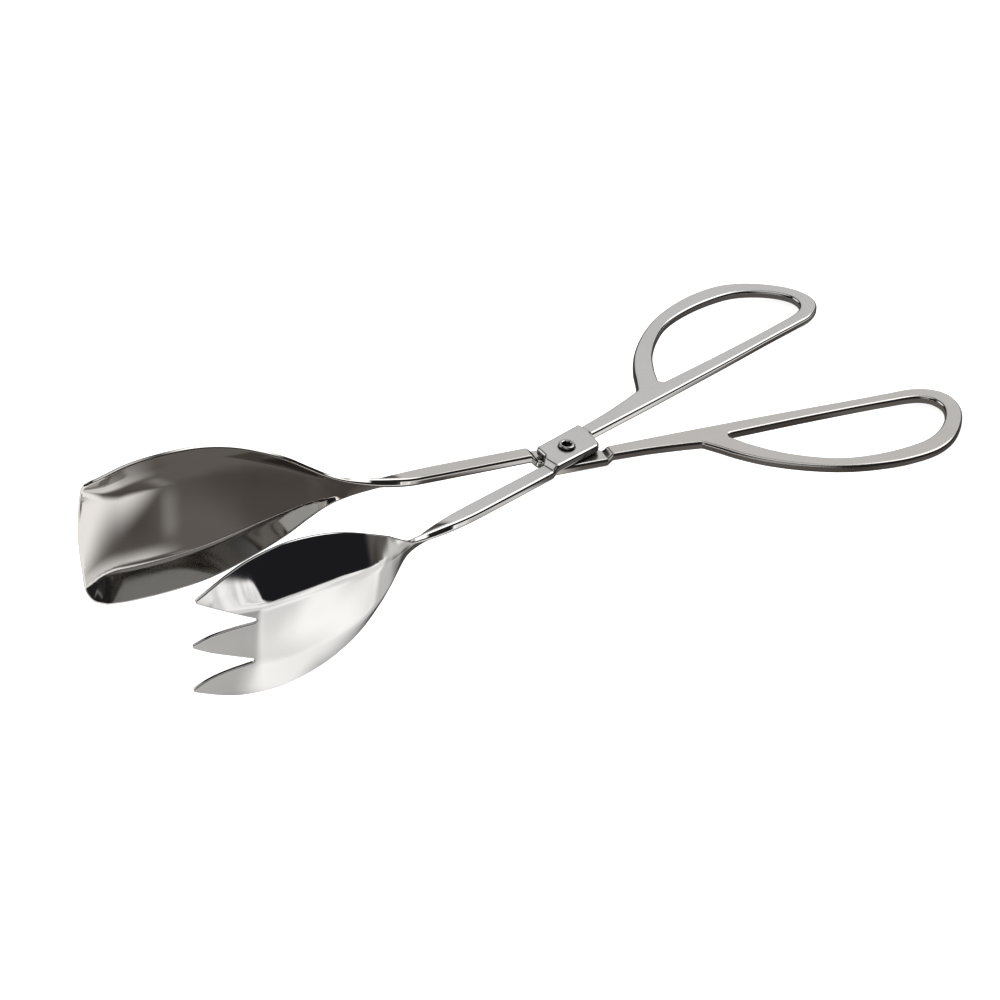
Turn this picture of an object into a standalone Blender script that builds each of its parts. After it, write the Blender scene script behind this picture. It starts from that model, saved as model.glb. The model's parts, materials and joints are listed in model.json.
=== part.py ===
"""Scissor-action serving tongs: a spoon arm and a fork arm on one hollow rivet.

Each arm is modelled the way it is made: a flat blank is outlined, pierced, given
rounded edges and then formed (joggled beside the rivet, twisted a quarter turn at
the neck and dished at the blade).  Lengths below are millimetres.  Arm coordinates:
u runs from the blade (negative) to the finger loop (positive) through the rivet,
v points to the loop's side, z is up through the rivet.
"""
import math

import bpy
import numpy
from mathutils import geometry

MM = 0.001

# Sheet
SHEET = 2.9
BLADE_SHEET = 1.2
THINNING_START = -54.0
THINNING_END = -76.0
EDGE_ROUND = 0.23

# Overall posture
HALF_OPENING = math.radians(10.5)
REST_TILT = math.radians(5.5)

# Rivet and the two lapped plates
PLATE_GAP = 0.3
PLATE_LIFT = 0.5 * (SHEET + PLATE_GAP)
RIVET_SHANK = 1.9
RIVET_BORE = 1.4
RIVET_RING = 2.55
RIVET_RING_HEIGHT = 1.0
RIVET_HEAD = 3.6
RIVET_HEAD_HEIGHT = 1.1
RIVET_CLEARANCE = 0.3
BORE_DEPTH = 4.6
JOGGLE_LEFT = (-11.2, -9.0)
JOGGLE_RIGHT = (13.1, 10.9)

# Bar of the blade half and the plate's corners
BAR_CENTRE = -3.4
BAR_HALF = 2.7
BAR_START = -41.0
PLATE_LOW = -5.8
PLATE_HIGH = 5.8
PLATE_LEFT = -8.5
PLATE_RIGHT = 11.4

# Handle: inner edge of the bar, finger loop outside and finger loop inside
HANDLE_INNER = [(18.0, 1.4), (45.0, 1.6), (75.0, 2.1), (100.0, 2.8), (112.0, 3.0)]
LOOP_END = [(119.6, 3.4), (126.0, 6.2), (129.2, 11.4), (127.9, 20.0)]
LOOP_BOW = [(120.0, 30.2), (110.6, 35.9), (98.5, 37.9), (87.0, 37.2), (76.3, 34.8)]
LOOP_ROOT = [(65.8, 30.3), (56.4, 24.5), (49.6, 18.5), (45.1, 13.3)]
HANDLE_OUTER = [(36.0, 8.5), (25.0, 7.2), (14.0, 6.5)]
HOLE_BAR = [(56.0, 7.4), (75.0, 7.2), (95.0, 7.3), (108.0, 7.6)]
HOLE_END = [(118.2, 8.4), (122.4, 11.0), (123.3, 16.2)]
HOLE_BOW = [(119.0, 23.2), (111.0, 29.0), (102.0, 31.3), (90.0, 31.9), (78.6, 30.3)]
HOLE_ROOT = [(69.0, 26.0), (60.5, 20.0), (54.6, 13.8)]

# Spoon blade: (u, half width), (u, rim line), (u, dish depth), (u, flat share of the floor)
SPOON_WIDTH = [(-56.0, 2.5), (-66.0, 3.1), (-71.0, 4.2), (-75.0, 6.0), (-80.0, 9.2),
               (-87.0, 13.9), (-95.0, 18.0), (-104.0, 21.6), (-113.0, 23.7),
               (-124.0, 24.4), (-135.0, 23.8), (-142.0, 22.4)]
SPOON_RIM = [(-48.0, -3.4), (-60.0, -4.3), (-68.0, -5.0), (-76.0, -5.6), (-88.0, -6.1),
             (-98.0, -6.4), (-112.0, -5.9), (-124.0, -4.9), (-136.0, -3.5), (-148.0, -1.2)]
SPOON_DEPTH = [(-68.0, 0.0), (-73.0, 0.8), (-80.0, 2.8), (-88.0, 4.0), (-100.0, 4.3),
               (-136.0, 4.3), (-150.0, 4.5)]
SPOON_FLOOR = [(-136.0, 0.60), (-142.0, 0.66), (-149.0, 0.82)]
SPOON_CORNER = (-147.3, 20.2, 4.5)
SPOON_FRONT = [(-148.6, 12.0), (-149.1, 0.0), (-148.2, -12.0)]

# Fork blade, in the same way, with three tines
FORK_WIDTH = [(-64.0, 2.4), (-69.0, 3.4), (-72.0, 5.2), (-76.0, 8.0), (-80.0, 10.9),
              (-88.0, 16.1), (-95.0, 20.0), (-102.0, 22.8), (-110.0, 24.6),
              (-118.0, 25.1), (-128.0, 23.3), (-134.5, 20.7), (-140.0, 17.8)]
FORK_RIM = [(-60.0, -3.4), (-68.0, -3.8), (-76.0, -5.3), (-82.0, -6.6), (-90.0, -7.6),
            (-98.0, -7.2), (-110.0, -5.6), (-128.0, -2.3), (-144.0, 0.4)]
FORK_DEPTH = [(-66.0, 0.0), (-71.0, 0.7), (-76.0, 1.8), (-81.0, 2.8), (-88.0, 4.0),
              (-96.0, 5.0), (-106.0, 5.7), (-118.0, 5.7), (-124.0, 5.3), (-127.0, 4.8),
              (-129.5, 4.0), (-133.0, 2.9), (-138.0, 1.4), (-144.0, -0.4)]
FORK_FLOOR = [(-70.0, 0.42), (-140.0, 0.42)]
HIGH_TIP = (-144.2, 15.4, 0.8)
HIGH_INSIDE = [(-139.5, 13.0), (-134.0, 10.8)]
HIGH_NOTCH = [(-128.2, 8.9, 0.5), (-128.2, 7.7, 0.5)]
MIDDLE_HIGH = [(-134.0, 5.4), (-139.5, 3.0)]
MIDDLE_TIP = (-144.6, 0.0, 0.8)
MIDDLE_LOW = [(-139.5, -2.6), (-134.0, -4.0)]
LOW_NOTCH = [(-128.0, -5.0, 0.5), (-128.0, -6.2, 0.5)]
LOW_INSIDE = [(-134.0, -9.2), (-139.5, -12.2)]
LOW_TIP = (-144.2, -15.4, 0.8)

# Softness of the crease at the foot of a dish's wall: on its lower side, on its upper side
SPOON_BLEND = (0.16, 0.46)
FORK_BLEND = (0.16, 0.16)

# The turn at each neck: where it starts, where it ends, how far it goes
SPOON_TWIST = (-46.0, -74.0, math.radians(90.0))
FORK_TWIST = (-43.0, -80.0, math.radians(88.0))

# Mesh fineness
ARC_STEP = math.radians(18.0)
CURVE_STEP = 4.5
FLAT_STEP = 14.0
FORMED_STEP = 3.0
BEND_STEP = 0.85
ROUND_SEGMENTS = 28
INSIDE_OUTLINE = 1
GRID_ROWS = (-0.86, -0.70, -0.60, -0.50, -0.38, -0.18, 0.0, 0.18, 0.38, 0.50, 0.60, 0.70, 0.86)


def smoothstep(start, end, value):
    """Ease from 0 at start to 1 at end."""
    amount = numpy.clip((value - start) / (end - start), 0.0, 1.0)
    return amount * amount * (3.0 - 2.0 * amount)


def curve_value(stations, position):
    """Smooth curve through (position, value) stations, held level beyond both ends."""
    ordered = sorted(stations)
    known = numpy.array([station[0] for station in ordered])
    values = numpy.array([station[1] for station in ordered])
    slopes = numpy.gradient(values, known)
    slopes[-1] = 0.0
    where = numpy.clip(position, known[0], known[-1])
    index = numpy.clip(numpy.searchsorted(known, where) - 1, 0, len(known) - 2)
    span = known[index + 1] - known[index]
    part = (where - known[index]) / span
    square = part * part
    cube = square * part
    result = (2.0 * cube - 3.0 * square + 1.0) * values[index]
    result = result + (cube - 2.0 * square + part) * span * slopes[index]
    result = result + (3.0 * square - 2.0 * cube) * values[index + 1]
    return result + (cube - square) * span * slopes[index + 1]


def spline(points):
    """Sample a smooth curve through the points, ends included, as sharp corners."""
    spots = [numpy.array(point, dtype=float) for point in points]
    first = 2.0 * spots[0] - spots[1]
    last = 2.0 * spots[-1] - spots[-2]
    padded = [first] + spots + [last]
    samples = []
    for number in range(1, len(padded) - 2):
        before, start, end, after = padded[number - 1:number + 3]
        span = numpy.linalg.norm(end - start)
        tangent_in = (end - before) * span / numpy.linalg.norm(end - before)
        tangent_out = (after - start) * span / numpy.linalg.norm(after - start)
        count = max(2, math.ceil(span / CURVE_STEP))
        for step in range(count):
            samples.append(hermite_point(start, end, tangent_in, tangent_out, step / count))
    samples.append(spots[-1])
    return [(spot[0], spot[1], 0.0) for spot in samples]


def hermite_point(start, end, tangent_in, tangent_out, part):
    """One point of a cubic between two points with given tangents."""
    square = part * part
    cube = square * part
    point = (2.0 * cube - 3.0 * square + 1.0) * start
    point = point + (cube - 2.0 * square + part) * tangent_in
    point = point + (3.0 * square - 2.0 * cube) * end
    return point + (cube - square) * tangent_out


def round_corners(corners):
    """Closed outline from (u, v, radius) corners, each radius replaced by an arc."""
    outline = []
    total = len(corners)
    for number in range(total):
        here = numpy.array(corners[number][:2])
        radius = corners[number][2]
        if radius == 0.0:
            outline.append(here)
            continue
        back = numpy.array(corners[number - 1][:2]) - here
        ahead = numpy.array(corners[(number + 1) % total][:2]) - here
        outline.extend(corner_arc(here, back, ahead, radius))
    return outline


def corner_arc(here, back, ahead, radius):
    """Points of the arc that rounds one corner."""
    back = back / numpy.linalg.norm(back)
    ahead = ahead / numpy.linalg.norm(ahead)
    inside = math.acos(max(-1.0, min(1.0, float(back @ ahead))))
    turn = math.pi - inside
    middle = back + ahead
    centre = here + middle / numpy.linalg.norm(middle) * radius / math.sin(0.5 * inside)
    reach = radius / math.tan(0.5 * inside)
    start = here + back * reach - centre
    side = here + ahead * reach - centre
    count = max(2, math.ceil(turn / ARC_STEP))
    arc = []
    for step in range(count + 1):
        angle = turn * step / count
        first = math.sin(turn - angle) / math.sin(turn)
        second = math.sin(angle) / math.sin(turn)
        arc.append(centre + start * first + side * second)
    return arc


def in_joggle(position):
    """Whether a place along the arm is at or beside one of its joggles."""
    left = JOGGLE_LEFT[0] - 1.0 < position < JOGGLE_LEFT[1] + 1.0
    right = JOGGLE_RIGHT[1] - 1.0 < position < JOGGLE_RIGHT[0] + 1.0
    return left or right


def step_at(position):
    """Longest edge allowed along the outline at a place on the arm."""
    if position < BAR_START:
        return FORMED_STEP
    if in_joggle(position):
        return BEND_STEP
    return FLAT_STEP


def subdivide(outline):
    """Split long edges of a closed outline so that it can follow the forming."""
    result = []
    for number, start in enumerate(outline):
        end = outline[(number + 1) % len(outline)]
        length = numpy.linalg.norm(end - start)
        allowed = min(step_at(start[0]), step_at(end[0]), step_at(0.5 * (start[0] + end[0])))
        count = max(1, math.ceil(length / allowed - 0.01))
        for step in range(count):
            result.append(start + (end - start) * step / count)
    return result


def mirrored(points):
    """The same run on the other half of a blade, in the opposite order."""
    return [(point[0], -point[1]) + tuple(point[2:]) for point in reversed(points)]


def blade_side(stations, side):
    """Long edge of a blade from neck to tip on one side."""
    ordered = sorted(stations, reverse=True)
    return spline([(place, BAR_CENTRE + side * half) for place, half in ordered])


def shift(points):
    """Move blade-centred points onto the bar's centre line, adding a zero radius."""
    moved = []
    for point in points:
        radius = point[2] if len(point) > 2 else 0.0
        moved.append((point[0], BAR_CENTRE + point[1], radius))
    return moved


def spoon_end():
    """Square front of the spoon from its +v corner to its -v corner."""
    front = spline([SPOON_CORNER[:2]] + SPOON_FRONT + [(SPOON_CORNER[0], -SPOON_CORNER[1])])
    corner = [SPOON_CORNER]
    return shift(corner + front[1:-1] + mirrored(corner))


def tine_side(start, between, end):
    """Plain points of a tine's edge between two corners."""
    return spline([start[:2]] + between + [end[:2]])[1:-1]


def fork_end():
    """Three tines from the +v one to the -v one."""
    high = [HIGH_TIP] + tine_side(HIGH_TIP, HIGH_INSIDE, HIGH_NOTCH[0]) + HIGH_NOTCH
    middle = tine_side(HIGH_NOTCH[1], MIDDLE_HIGH, MIDDLE_TIP) + [MIDDLE_TIP]
    middle = middle + tine_side(MIDDLE_TIP, MIDDLE_LOW, LOW_NOTCH[0]) + LOW_NOTCH
    low = tine_side(LOW_NOTCH[1], LOW_INSIDE, LOW_TIP) + [LOW_TIP]
    return shift(high + middle + low)


def handle_corners():
    """Right-hand part of the blank: plate, bar and finger loop, counter-clockwise."""
    low_side = [(BAR_START, BAR_CENTRE - BAR_HALF, 0.0), (-9.6, PLATE_LOW, 0.0)]
    plate_end = [(PLATE_RIGHT - 2.4, PLATE_LOW, 2.6), (PLATE_RIGHT, HANDLE_INNER[0][1], 1.5)]
    loop = spline(HANDLE_INNER + LOOP_END + LOOP_BOW + LOOP_ROOT)
    notch = [(41.6, 9.4, 1.6)]
    outer = spline(HANDLE_OUTER)
    plate_start = [(-7.4, PLATE_HIGH, 1.8), (PLATE_LEFT, 0.9, 1.2), (-10.8, -0.6, 1.4)]
    bar = [(BAR_START, BAR_CENTRE + BAR_HALF, 0.0)]
    return low_side + plate_end + loop + notch + outer + plate_start + bar


def arm_outline(blade):
    """Closed counter-clockwise outline of one blank."""
    high = blade_side(blade["width"], 1.0)
    low = blade_side(blade["width"], -1.0)
    corners = handle_corners() + high + blade["end"]() + list(reversed(low))
    return subdivide(round_corners(corners))


def loop_hole():
    """Finger hole, traced clockwise so that material is on its left."""
    path = spline(HOLE_BAR + HOLE_END + HOLE_BOW + HOLE_ROOT)
    corners = [(50.0, 7.5, 1.3)] + path
    return subdivide(round_corners(list(reversed(corners))))


def rivet_hole():
    """Round hole for the rivet, traced clockwise."""
    radius = RIVET_SHANK + RIVET_CLEARANCE
    ring = []
    for step in range(ROUND_SEGMENTS):
        angle = -2.0 * math.pi * step / ROUND_SEGMENTS
        ring.append(numpy.array([radius * math.cos(angle), radius * math.sin(angle)]))
    return ring


def inset(outline, distances):
    """Move each point of a closed outline to its left by its own distance."""
    points = numpy.array(outline)
    before = points - numpy.roll(points, 1, axis=0)
    after = numpy.roll(points, -1, axis=0) - points
    before = before / numpy.linalg.norm(before, axis=1)[:, None]
    after = after / numpy.linalg.norm(after, axis=1)[:, None]
    left = numpy.stack([-(before[:, 1] + after[:, 1]), before[:, 0] + after[:, 0]], axis=1)
    scale = 2.0 / numpy.maximum((left * left).sum(axis=1), 1.0)
    return points + left * scale[:, None] * numpy.array(distances)[:, None]


def inside_outline(point, outline):
    """Even-odd test of a point against a closed outline."""
    ends = numpy.roll(outline, -1, axis=0)
    crosses = (outline[:, 1] > point[1]) != (ends[:, 1] > point[1])
    rise = numpy.where(crosses, ends[:, 1] - outline[:, 1], 1.0)
    run = (point[1] - outline[:, 1]) / rise
    meets = outline[:, 0] + run * (ends[:, 0] - outline[:, 0])
    return bool(numpy.count_nonzero(crosses & (point[0] < meets)) % 2)


def distance_to(point, outline):
    """Distance from a point to the nearest edge of a closed outline."""
    ends = numpy.roll(outline, -1, axis=0)
    edges = ends - outline
    along = ((point - outline) * edges).sum(axis=1) / (edges * edges).sum(axis=1)
    nearest = outline + edges * numpy.clip(along, 0.0, 1.0)[:, None]
    return float(numpy.sqrt(((point - nearest) ** 2).sum(axis=1)).min())


def form_points(blade):
    """Places inside the blank where the forming needs vertices."""
    spots = []
    position = BAR_START - 1.0
    while position > -150.0:
        half = float(curve_value(blade["width"], position))
        rows = (0.0,) if half < 4.0 else GRID_ROWS
        for row in rows:
            spots.append(numpy.array([position, BAR_CENTRE + row * half]))
        position = position - 0.9 * FORMED_STEP
    for first, last, across in (JOGGLE_LEFT + (BAR_CENTRE,), JOGGLE_RIGHT + (4.0,)):
        for share in (0.0, 0.25, 0.5, 0.75, 1.0):
            spots.append(numpy.array([first + share * (last - first), across]))
    return spots


def sheet_thickness(position):
    """The bar keeps the full sheet; the blade is rolled thinner."""
    thin = smoothstep(THINNING_START, THINNING_END, position)
    return SHEET + (BLADE_SHEET - SHEET) * thin


def dish_shape(share, floor, blend):
    """1 across the flat floor of a dish, falling to 0 at its rim past a softened crease."""
    wall = (1.0 - share) / (1.0 - floor)
    mix = numpy.clip(0.5 + 0.5 * (1.0 - wall) / blend, 0.0, 1.0)
    return 1.0 + (wall - 1.0) * mix - blend * mix * (1.0 - mix)


def formed(blade, position, across):
    """Mid-surface point of the formed sheet for a point of the flat blank."""
    offset = across - BAR_CENTRE
    start, end, angle = blade["twist"]
    turn = angle * smoothstep(start, end, position)
    rim = curve_value(blade["rim"], position)
    half = curve_value(blade["width"], position)
    depth = curve_value(blade["depth"], position)
    floor = curve_value(blade["floor"], position)
    blend = numpy.where(blade["hand"] * offset > 0.0, blade["blend"][1], blade["blend"][0])
    drop = depth * dish_shape(numpy.abs(offset) / half, floor, blend)
    joggle = smoothstep(*JOGGLE_LEFT, position) * smoothstep(*JOGGLE_RIGHT, position)
    sideways = rim + offset * numpy.cos(turn) - drop
    upward = blade["layer"] * PLATE_LIFT * joggle + blade["hand"] * offset * numpy.sin(turn)
    return numpy.stack([position, sideways, upward], axis=-1)


def surface_normals(blade, points):
    """Unit normals of the formed sheet at points of the blank."""
    small = 0.02
    along = formed(blade, points[:, 0] + small, points[:, 1])
    along = along - formed(blade, points[:, 0] - small, points[:, 1])
    beside = formed(blade, points[:, 0], points[:, 1] + small)
    beside = beside - formed(blade, points[:, 0], points[:, 1] - small)
    normal = numpy.cross(along, beside)
    return normal / numpy.linalg.norm(normal, axis=1)[:, None]


def sheet_skin(blade, points, level):
    """Points of the blank placed at a share of the half thickness above mid-surface."""
    middle = formed(blade, points[:, 0], points[:, 1])
    height = 0.5 * sheet_thickness(points[:, 0]) * level
    level_part = points[:, 0] > BAR_START
    upright = numpy.array([0.0, 0.0, 1.0])
    lift = numpy.where(level_part[:, None], upright, surface_normals(blade, points))
    return middle + lift * height[:, None]


def cap_triangles(loops, spots):
    """Triangulate the face of the blank between its outline and its holes."""
    points = []
    edges = []
    for loop in loops:
        first = len(points)
        points.extend([tuple(point) for point in loop])
        count = len(loop)
        edges.extend([(first + step, first + (step + 1) % count) for step in range(count)])
    points.extend([tuple(spot) for spot in spots])
    solved = geometry.delaunay_2d_cdt(points, edges, [], INSIDE_OUTLINE, 1e-6)
    if len(solved[0]) != len(points):
        raise RuntimeError("the blank's outline crosses itself")
    origin = [source[0] for source in solved[3]]
    flat = numpy.array([tuple(point) for point in solved[0]])
    triangles = []
    for triangle in solved[2]:
        centre = flat[list(triangle)].mean(axis=0)
        if not any(inside_outline(centre, hole) for hole in loops[1:]):
            triangles.append(tuple(origin[corner] for corner in triangle))
    return triangles


def edge_rings():
    """(inset share, height share) of the rings that round the sheet's edge."""
    bevel = 1.0 - 2.0 * EDGE_ROUND
    return [(1.0, 1.0), (0.0, bevel), (0.0, -bevel), (1.0, -1.0)]


def build_sheet(blade, loops, spots):
    """Vertices and faces of a blank with rounded edges, formed to shape."""
    vertices = []
    faces = []
    rims = [[], []]
    for loop in loops:
        flat = numpy.array(loop)
        edge = EDGE_ROUND * sheet_thickness(flat[:, 0])
        rings = []
        for share, level in edge_rings():
            ring = inset(flat, edge * share)
            rings.append(len(vertices))
            vertices.extend(sheet_skin(blade, ring, level))
            if level == 1.0:
                rims[0].append((rings[-1], ring))
            if level == -1.0:
                rims[1].append((rings[-1], ring))
        faces.extend(band_faces(rings, len(flat)))
    faces.extend(face_caps(blade, vertices, rims, spots))
    return vertices, faces


def band_faces(rings, count):
    """Quads between the successive rings of one edge."""
    faces = []
    for upper, lower in zip(rings, rings[1:]):
        for step in range(count):
            following = (step + 1) % count
            faces.append((upper + step, lower + step, lower + following, upper + following))
    return faces


def face_caps(blade, vertices, rims, spots):
    """Top and bottom faces of the sheet, added to the vertices in place."""
    rings = [rim[1] for rim in rims[0]]
    kept = []
    for spot in spots:
        clear = min(distance_to(spot, ring) for ring in rings)
        if clear > 0.8 and sum(inside_outline(spot, ring) for ring in rings) == 1:
            kept.append(spot)
    triangles = cap_triangles(rings, kept)
    faces = []
    for side, level in ((0, 1.0), (1, -1.0)):
        numbers = []
        for first, ring in rims[side]:
            numbers.extend(range(first, first + len(ring)))
        numbers.extend(range(len(vertices), len(vertices) + len(kept)))
        vertices.extend(sheet_skin(blade, numpy.array(kept), level))
        for triangle in triangles:
            ordered = triangle if level > 0.0 else tuple(reversed(triangle))
            faces.append(tuple(numbers[corner] for corner in ordered))
    return faces


def place_arm(vertices, side):
    """Swing an arm about the rivet to the rest opening; side is +1 or -1."""
    points = numpy.array(vertices)
    cosine = math.cos(HALF_OPENING)
    sine = math.sin(HALF_OPENING)
    along = points[:, 0] * cosine - points[:, 1] * sine
    beside = side * (points[:, 0] * sine + points[:, 1] * cosine)
    return numpy.stack([along, beside, points[:, 2]], axis=1)


def turned(profile):
    """Vertices and faces of a closed (radius, height) profile turned about z."""
    vertices = []
    faces = []
    count = len(profile)
    starts = []
    for radius, height in profile:
        starts.append(len(vertices))
        if radius == 0.0:
            vertices.append((0.0, 0.0, height))
            continue
        for step in range(ROUND_SEGMENTS):
            angle = 2.0 * math.pi * step / ROUND_SEGMENTS
            vertices.append((radius * math.cos(angle), radius * math.sin(angle), height))
    for number in range(count - 1):
        faces.extend(turned_band(profile, starts, number))
    return vertices, faces


def turned_band(profile, starts, number):
    """Faces between two neighbouring profile points."""
    faces = []
    first = starts[number]
    second = starts[number + 1]
    for step in range(ROUND_SEGMENTS):
        following = (step + 1) % ROUND_SEGMENTS
        if profile[number][0] == 0.0:
            faces.append((first, second + step, second + following))
        elif profile[number + 1][0] == 0.0:
            faces.append((first + step, second, first + following))
        else:
            faces.append((first + step, second + step, second + following, first + following))
    return faces


def rivet_profile():
    """Profile of the hollow rivet from the bottom of its bore to its lower head."""
    plate = PLATE_LIFT + 0.5 * SHEET
    seat = plate + 0.5 * RIVET_CLEARANCE
    top = plate + RIVET_RING_HEIGHT
    middle = 0.5 * (seat + top)
    crown = 0.5 * (RIVET_BORE + RIVET_RING)
    inner = [(0.0, top - BORE_DEPTH), (RIVET_BORE, top - BORE_DEPTH), (RIVET_BORE, middle)]
    roll = [(RIVET_BORE + 0.12, top - 0.2), (crown, top), (RIVET_RING - 0.15, top - 0.18)]
    outer = [(RIVET_RING, middle), (RIVET_RING - 0.12, seat + 0.06), (RIVET_RING - 0.35, seat)]
    shank = [(RIVET_SHANK, seat), (RIVET_SHANK, -seat)]
    head = [(RIVET_HEAD - 0.3, -seat), (RIVET_HEAD, -seat - 0.35)]
    foot = -seat - RIVET_HEAD_HEIGHT
    base = [(RIVET_HEAD - 0.35, foot + 0.2), (RIVET_HEAD - 0.9, foot), (0.0, foot)]
    return inner + roll + outer + shank + head + base


def steel(name, tone, roughness):
    """Stainless steel material."""
    material = bpy.data.materials.new(name)
    material.use_nodes = True
    shader = material.node_tree.nodes["Principled BSDF"]
    shader.inputs["Base Color"].default_value = (tone[0], tone[1], tone[2], 1.0)
    shader.inputs["Metallic"].default_value = 1.0
    shader.inputs["Roughness"].default_value = roughness
    return material


def tilted(points):
    """Lean the flat tongs so that blades and loops both reach the table."""
    points = numpy.array(points)
    cosine = math.cos(REST_TILT)
    sine = math.sin(REST_TILT)
    along = points[:, 0] * cosine + points[:, 2] * sine
    upward = points[:, 2] * cosine - points[:, 0] * sine
    return numpy.stack([along, points[:, 1], upward], axis=1)


def add_piece(name, points, faces, pivot, material, smooth_angle):
    """Make one closed object whose origin is the rivet's centre."""
    mesh = bpy.data.meshes.new(name)
    scaled = points * MM
    mesh.from_pydata([tuple(point) for point in scaled], [], faces)
    mesh.materials.append(material)
    mesh.validate()
    mesh.update()
    mesh.shade_smooth()
    mesh.set_sharp_from_angle(angle=smooth_angle)
    piece = bpy.data.objects.new(name, mesh)
    piece.location = pivot
    bpy.context.scene.collection.objects.link(piece)
    return piece


def arm_mesh(blade):
    """One finished arm in rivet-centred, table-level directions."""
    loops = [arm_outline(blade), loop_hole(), rivet_hole()]
    vertices, faces = build_sheet(blade, loops, form_points(blade))
    points = place_arm(vertices, blade["layer"])
    if blade["layer"] < 0.0:
        faces = [tuple(reversed(face)) for face in faces]
    return tilted(points), faces


SPOON = {"width": SPOON_WIDTH, "rim": SPOON_RIM, "depth": SPOON_DEPTH,
         "floor": SPOON_FLOOR, "blend": SPOON_BLEND, "twist": SPOON_TWIST,
         "end": spoon_end, "layer": -1.0, "hand": 1.0}
FORK = {"width": FORK_WIDTH, "rim": FORK_RIM, "depth": FORK_DEPTH,
        "floor": FORK_FLOOR, "blend": FORK_BLEND, "twist": FORK_TWIST,
        "end": fork_end, "layer": 1.0, "hand": -1.0}


def main():
    """Build the three pieces with the box's bottom centre at the origin."""
    for item in list(bpy.data.objects):
        bpy.data.objects.remove(item, do_unlink=True)
    spoon_points, spoon_faces = arm_mesh(SPOON)
    fork_points, fork_faces = arm_mesh(FORK)
    rivet_vertices, rivet_faces = turned(rivet_profile())
    rivet_points = tilted(rivet_vertices)
    everything = numpy.concatenate([spoon_points, fork_points, rivet_points])
    low = everything.min(axis=0)
    high = everything.max(axis=0)
    pivot = numpy.array([-0.5 * (low[0] + high[0]), -0.5 * (low[1] + high[1]), -low[2]]) * MM
    blade_angle = math.radians(40.0)
    add_piece("spoon_arm", spoon_points, spoon_faces, pivot,
              steel("spoon_steel", (0.60, 0.58, 0.56), 0.18), blade_angle)
    add_piece("fork_arm", fork_points, fork_faces, pivot,
              steel("fork_steel", (0.62, 0.61, 0.59), 0.20), blade_angle)
    add_piece("pivot_rivet", rivet_points, rivet_faces, pivot,
              steel("rivet_steel", (0.66, 0.64, 0.62), 0.16), blade_angle)
    bpy.context.view_layer.update()
    print("pivot at", [round(float(value), 6) for value in pivot])


main()
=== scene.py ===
"""Looks of the scissor serving tongs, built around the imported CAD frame."""
import json
import math

import bpy
import numpy
from mathutils import Matrix, Vector, geometry


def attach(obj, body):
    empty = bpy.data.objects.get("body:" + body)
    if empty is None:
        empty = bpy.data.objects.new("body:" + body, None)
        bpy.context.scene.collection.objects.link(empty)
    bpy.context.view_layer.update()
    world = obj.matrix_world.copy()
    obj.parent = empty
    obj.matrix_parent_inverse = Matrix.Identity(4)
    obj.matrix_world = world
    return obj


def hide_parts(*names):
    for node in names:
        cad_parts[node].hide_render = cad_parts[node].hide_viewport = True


MM = 0.001

# Shape of the two arms, in millimetres: u along the arm, v across it, z through the rivet.
# TRIM keeps the fine surfaces just inside the coarser CAD ones.
SHEET = 2.9
BLADE_SHEET = 1.2
THINNING_START = -54.0
THINNING_END = -76.0
EDGE_ROUND = 0.34
TRIM = 0.035
HALF_OPENING = math.radians(10.5)
REST_TILT = math.radians(5.5)
PLATE_GAP = 0.3
PLATE_LIFT = 0.5 * (SHEET + PLATE_GAP)
RIVET_SHANK = 1.9
RIVET_BORE = 1.4
RIVET_RING = 2.55
RIVET_RING_HEIGHT = 1.0
RIVET_HEAD = 3.6
RIVET_HEAD_HEIGHT = 1.1
RIVET_CLEARANCE = 0.3
RIVET_SEAT_GAP = 0.06
RIVET_RIM = 0.45
RIVET_DOME = 1.2
RIVET_CREASE = math.radians(50.0)
BORE_DEPTH = 4.6
JOGGLE_LEFT = (-11.2, -9.0)
JOGGLE_RIGHT = (13.1, 10.9)
BAR_CENTRE = -3.4
BAR_HALF = 2.7
BAR_START = -41.0
PLATE_LOW = -5.8
PLATE_HIGH = 5.8
PLATE_LEFT = -8.5
PLATE_RIGHT = 11.4
PLATE_BAR_SIDE = [(-9.6, PLATE_LOW, 0.0)]
PLATE_HANDLE_SIDE = [(PLATE_RIGHT - 2.4, PLATE_LOW, 2.6), (PLATE_RIGHT, 1.4, 1.5)]
PLATE_UPPER_SIDE = [(-7.4, PLATE_HIGH, 1.8), (PLATE_LEFT, 0.9, 1.2), (-10.8, -0.6, 1.4)]
HANDLE_INNER = [(18.0, 1.4), (45.0, 1.6), (75.0, 2.1), (100.0, 2.8), (112.0, 3.0)]
LOOP_END = [(119.6, 3.4), (126.0, 6.2), (129.2, 11.4), (127.9, 20.0)]
LOOP_BOW = [(120.0, 30.2), (110.6, 35.9), (98.5, 37.9), (87.0, 37.2), (76.3, 34.8)]
LOOP_ROOT = [(65.8, 30.3), (56.4, 24.5), (49.6, 18.5), (45.1, 13.3)]
LOOP_NOTCH = (41.6, 9.4, 1.6)
HANDLE_OUTER = [(36.0, 8.5), (25.0, 7.2), (14.0, 6.5)]
HOLE_CORNER = (50.0, 7.5, 1.3)
HOLE_BAR = [(56.0, 7.4), (75.0, 7.2), (95.0, 7.3), (108.0, 7.6)]
HOLE_END = [(118.2, 8.4), (122.4, 11.0), (123.3, 16.2)]
HOLE_BOW = [(119.0, 23.2), (111.0, 29.0), (102.0, 31.3), (90.0, 31.9), (78.6, 30.3)]
HOLE_ROOT = [(69.0, 26.0), (60.5, 20.0), (54.6, 13.8)]

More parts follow.
